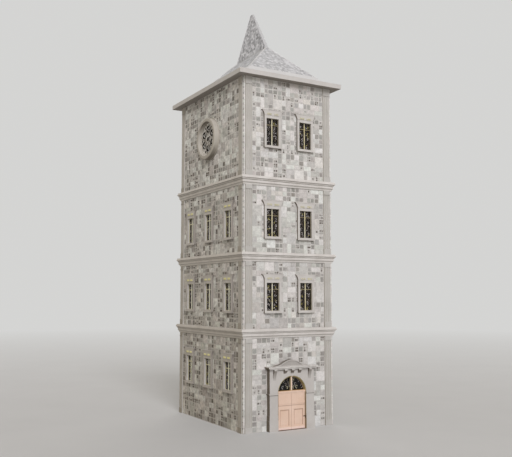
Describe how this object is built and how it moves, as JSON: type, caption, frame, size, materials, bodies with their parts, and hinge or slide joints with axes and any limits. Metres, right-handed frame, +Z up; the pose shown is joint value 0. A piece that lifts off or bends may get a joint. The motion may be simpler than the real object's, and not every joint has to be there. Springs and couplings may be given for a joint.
{
  "type": "stone tower with a round traceried window and a double door",
  "caption": "Rectangular stone tower with fluted corner strips, string courses, hooded windows, an arched portal with a double door, a hip roof and a thin tiled spire.",
  "frame": {"origin": "on the ground at the middle of the plan", "axes": "+Z up, -Y out of the front face with the door, -X out of the left side with a round window"},
  "size_m": [6.892, 9.512, 25.35],
  "materials": {
    "ashlar": "random blocks of pale and grey stone, lightly worn",
    "dressed_stone": "smooth dressed stone",
    "portal_stone": "smooth dressed stone",
    "floor_stone": "plain slabs",
    "eaves_stone": "smooth, pale",
    "roof_tile": "small pale grey tiles",
    "spire_tile": "small darker grey tiles",
    "window_paint": "cream and yellow paint",
    "dark_glass": "dark, clear",
    "door_timber": "salmon paint, satin"
  },
  "bodies": {
    "tower": {"back_wall_1": "ashlar", "back_wall_2": "ashlar", "back_wall_3": "ashlar", "back_wall_4": "ashlar", "door_frame": "door_timber", "eaves_slab": "eaves_stone", "fanlight_glass": "dark_glass", "floor_2": "floor_stone", "floor_3": "floor_stone", "floor_4": "floor_stone", "front_wall_2": "ashlar", "front_wall_3": "ashlar", "front_wall_4": "ashlar", "front_wall_left_1": "ashlar", "front_wall_over_door": "ashlar", "front_wall_right_1": "ashlar", "ground_floor": "floor_stone", "hip_roof": "roof_tile", "pilasters_1": "dressed_stone", "pilasters_2": "dressed_stone", "pilasters_3": "dressed_stone", "pilasters_4": "dressed_stone", "portal_arch": "portal_stone", "portal_brackets": "portal_stone", "portal_cap": "portal_stone", "portal_jambs": "portal_stone", "portal_pediment": "portal_stone", "round_window_glass": "dark_glass", "round_window_rings": "dressed_stone", "round_window_tracery": "dressed_stone", "side_walls_1": "ashlar", "side_walls_2": "ashlar", "side_walls_3": "ashlar", "side_walls_4": "ashlar", "spire": "spire_tile", "string_course_1": "dressed_stone", "string_course_2": "dressed_stone", "string_course_3": "dressed_stone", "window_frames_1": "window_paint", "window_frames_2": "window_paint", "window_frames_3": "window_paint", "window_frames_4": "window_paint", "window_glass_1": "dark_glass", "window_glass_2": "dark_glass", "window_glass_3": "dark_glass", "window_glass_4": "dark_glass", "window_surrounds_1": "dressed_stone", "window_surrounds_2": "dressed_stone", "window_surrounds_3": "dressed_stone", "window_surrounds_4": "dressed_stone"},
    "left_leaf": {"left_door_leaf": "door_timber"},
    "right_leaf": {"right_door_leaf": "door_timber"}
  },
  "joints": [
    {"name": "left_door_swing", "type": "hinge", "parent": "tower", "child": "left_leaf", "pos_m": [-0.88, -4.489, 1], "axis": [0, 0, -1], "range_deg": [0, 90]},
    {"name": "right_door_swing", "type": "hinge", "parent": "tower", "child": "right_leaf", "pos_m": [0.88, -4.489, 1], "axis": [0, 0, 1], "range_deg": [0, 90]}
  ]
}
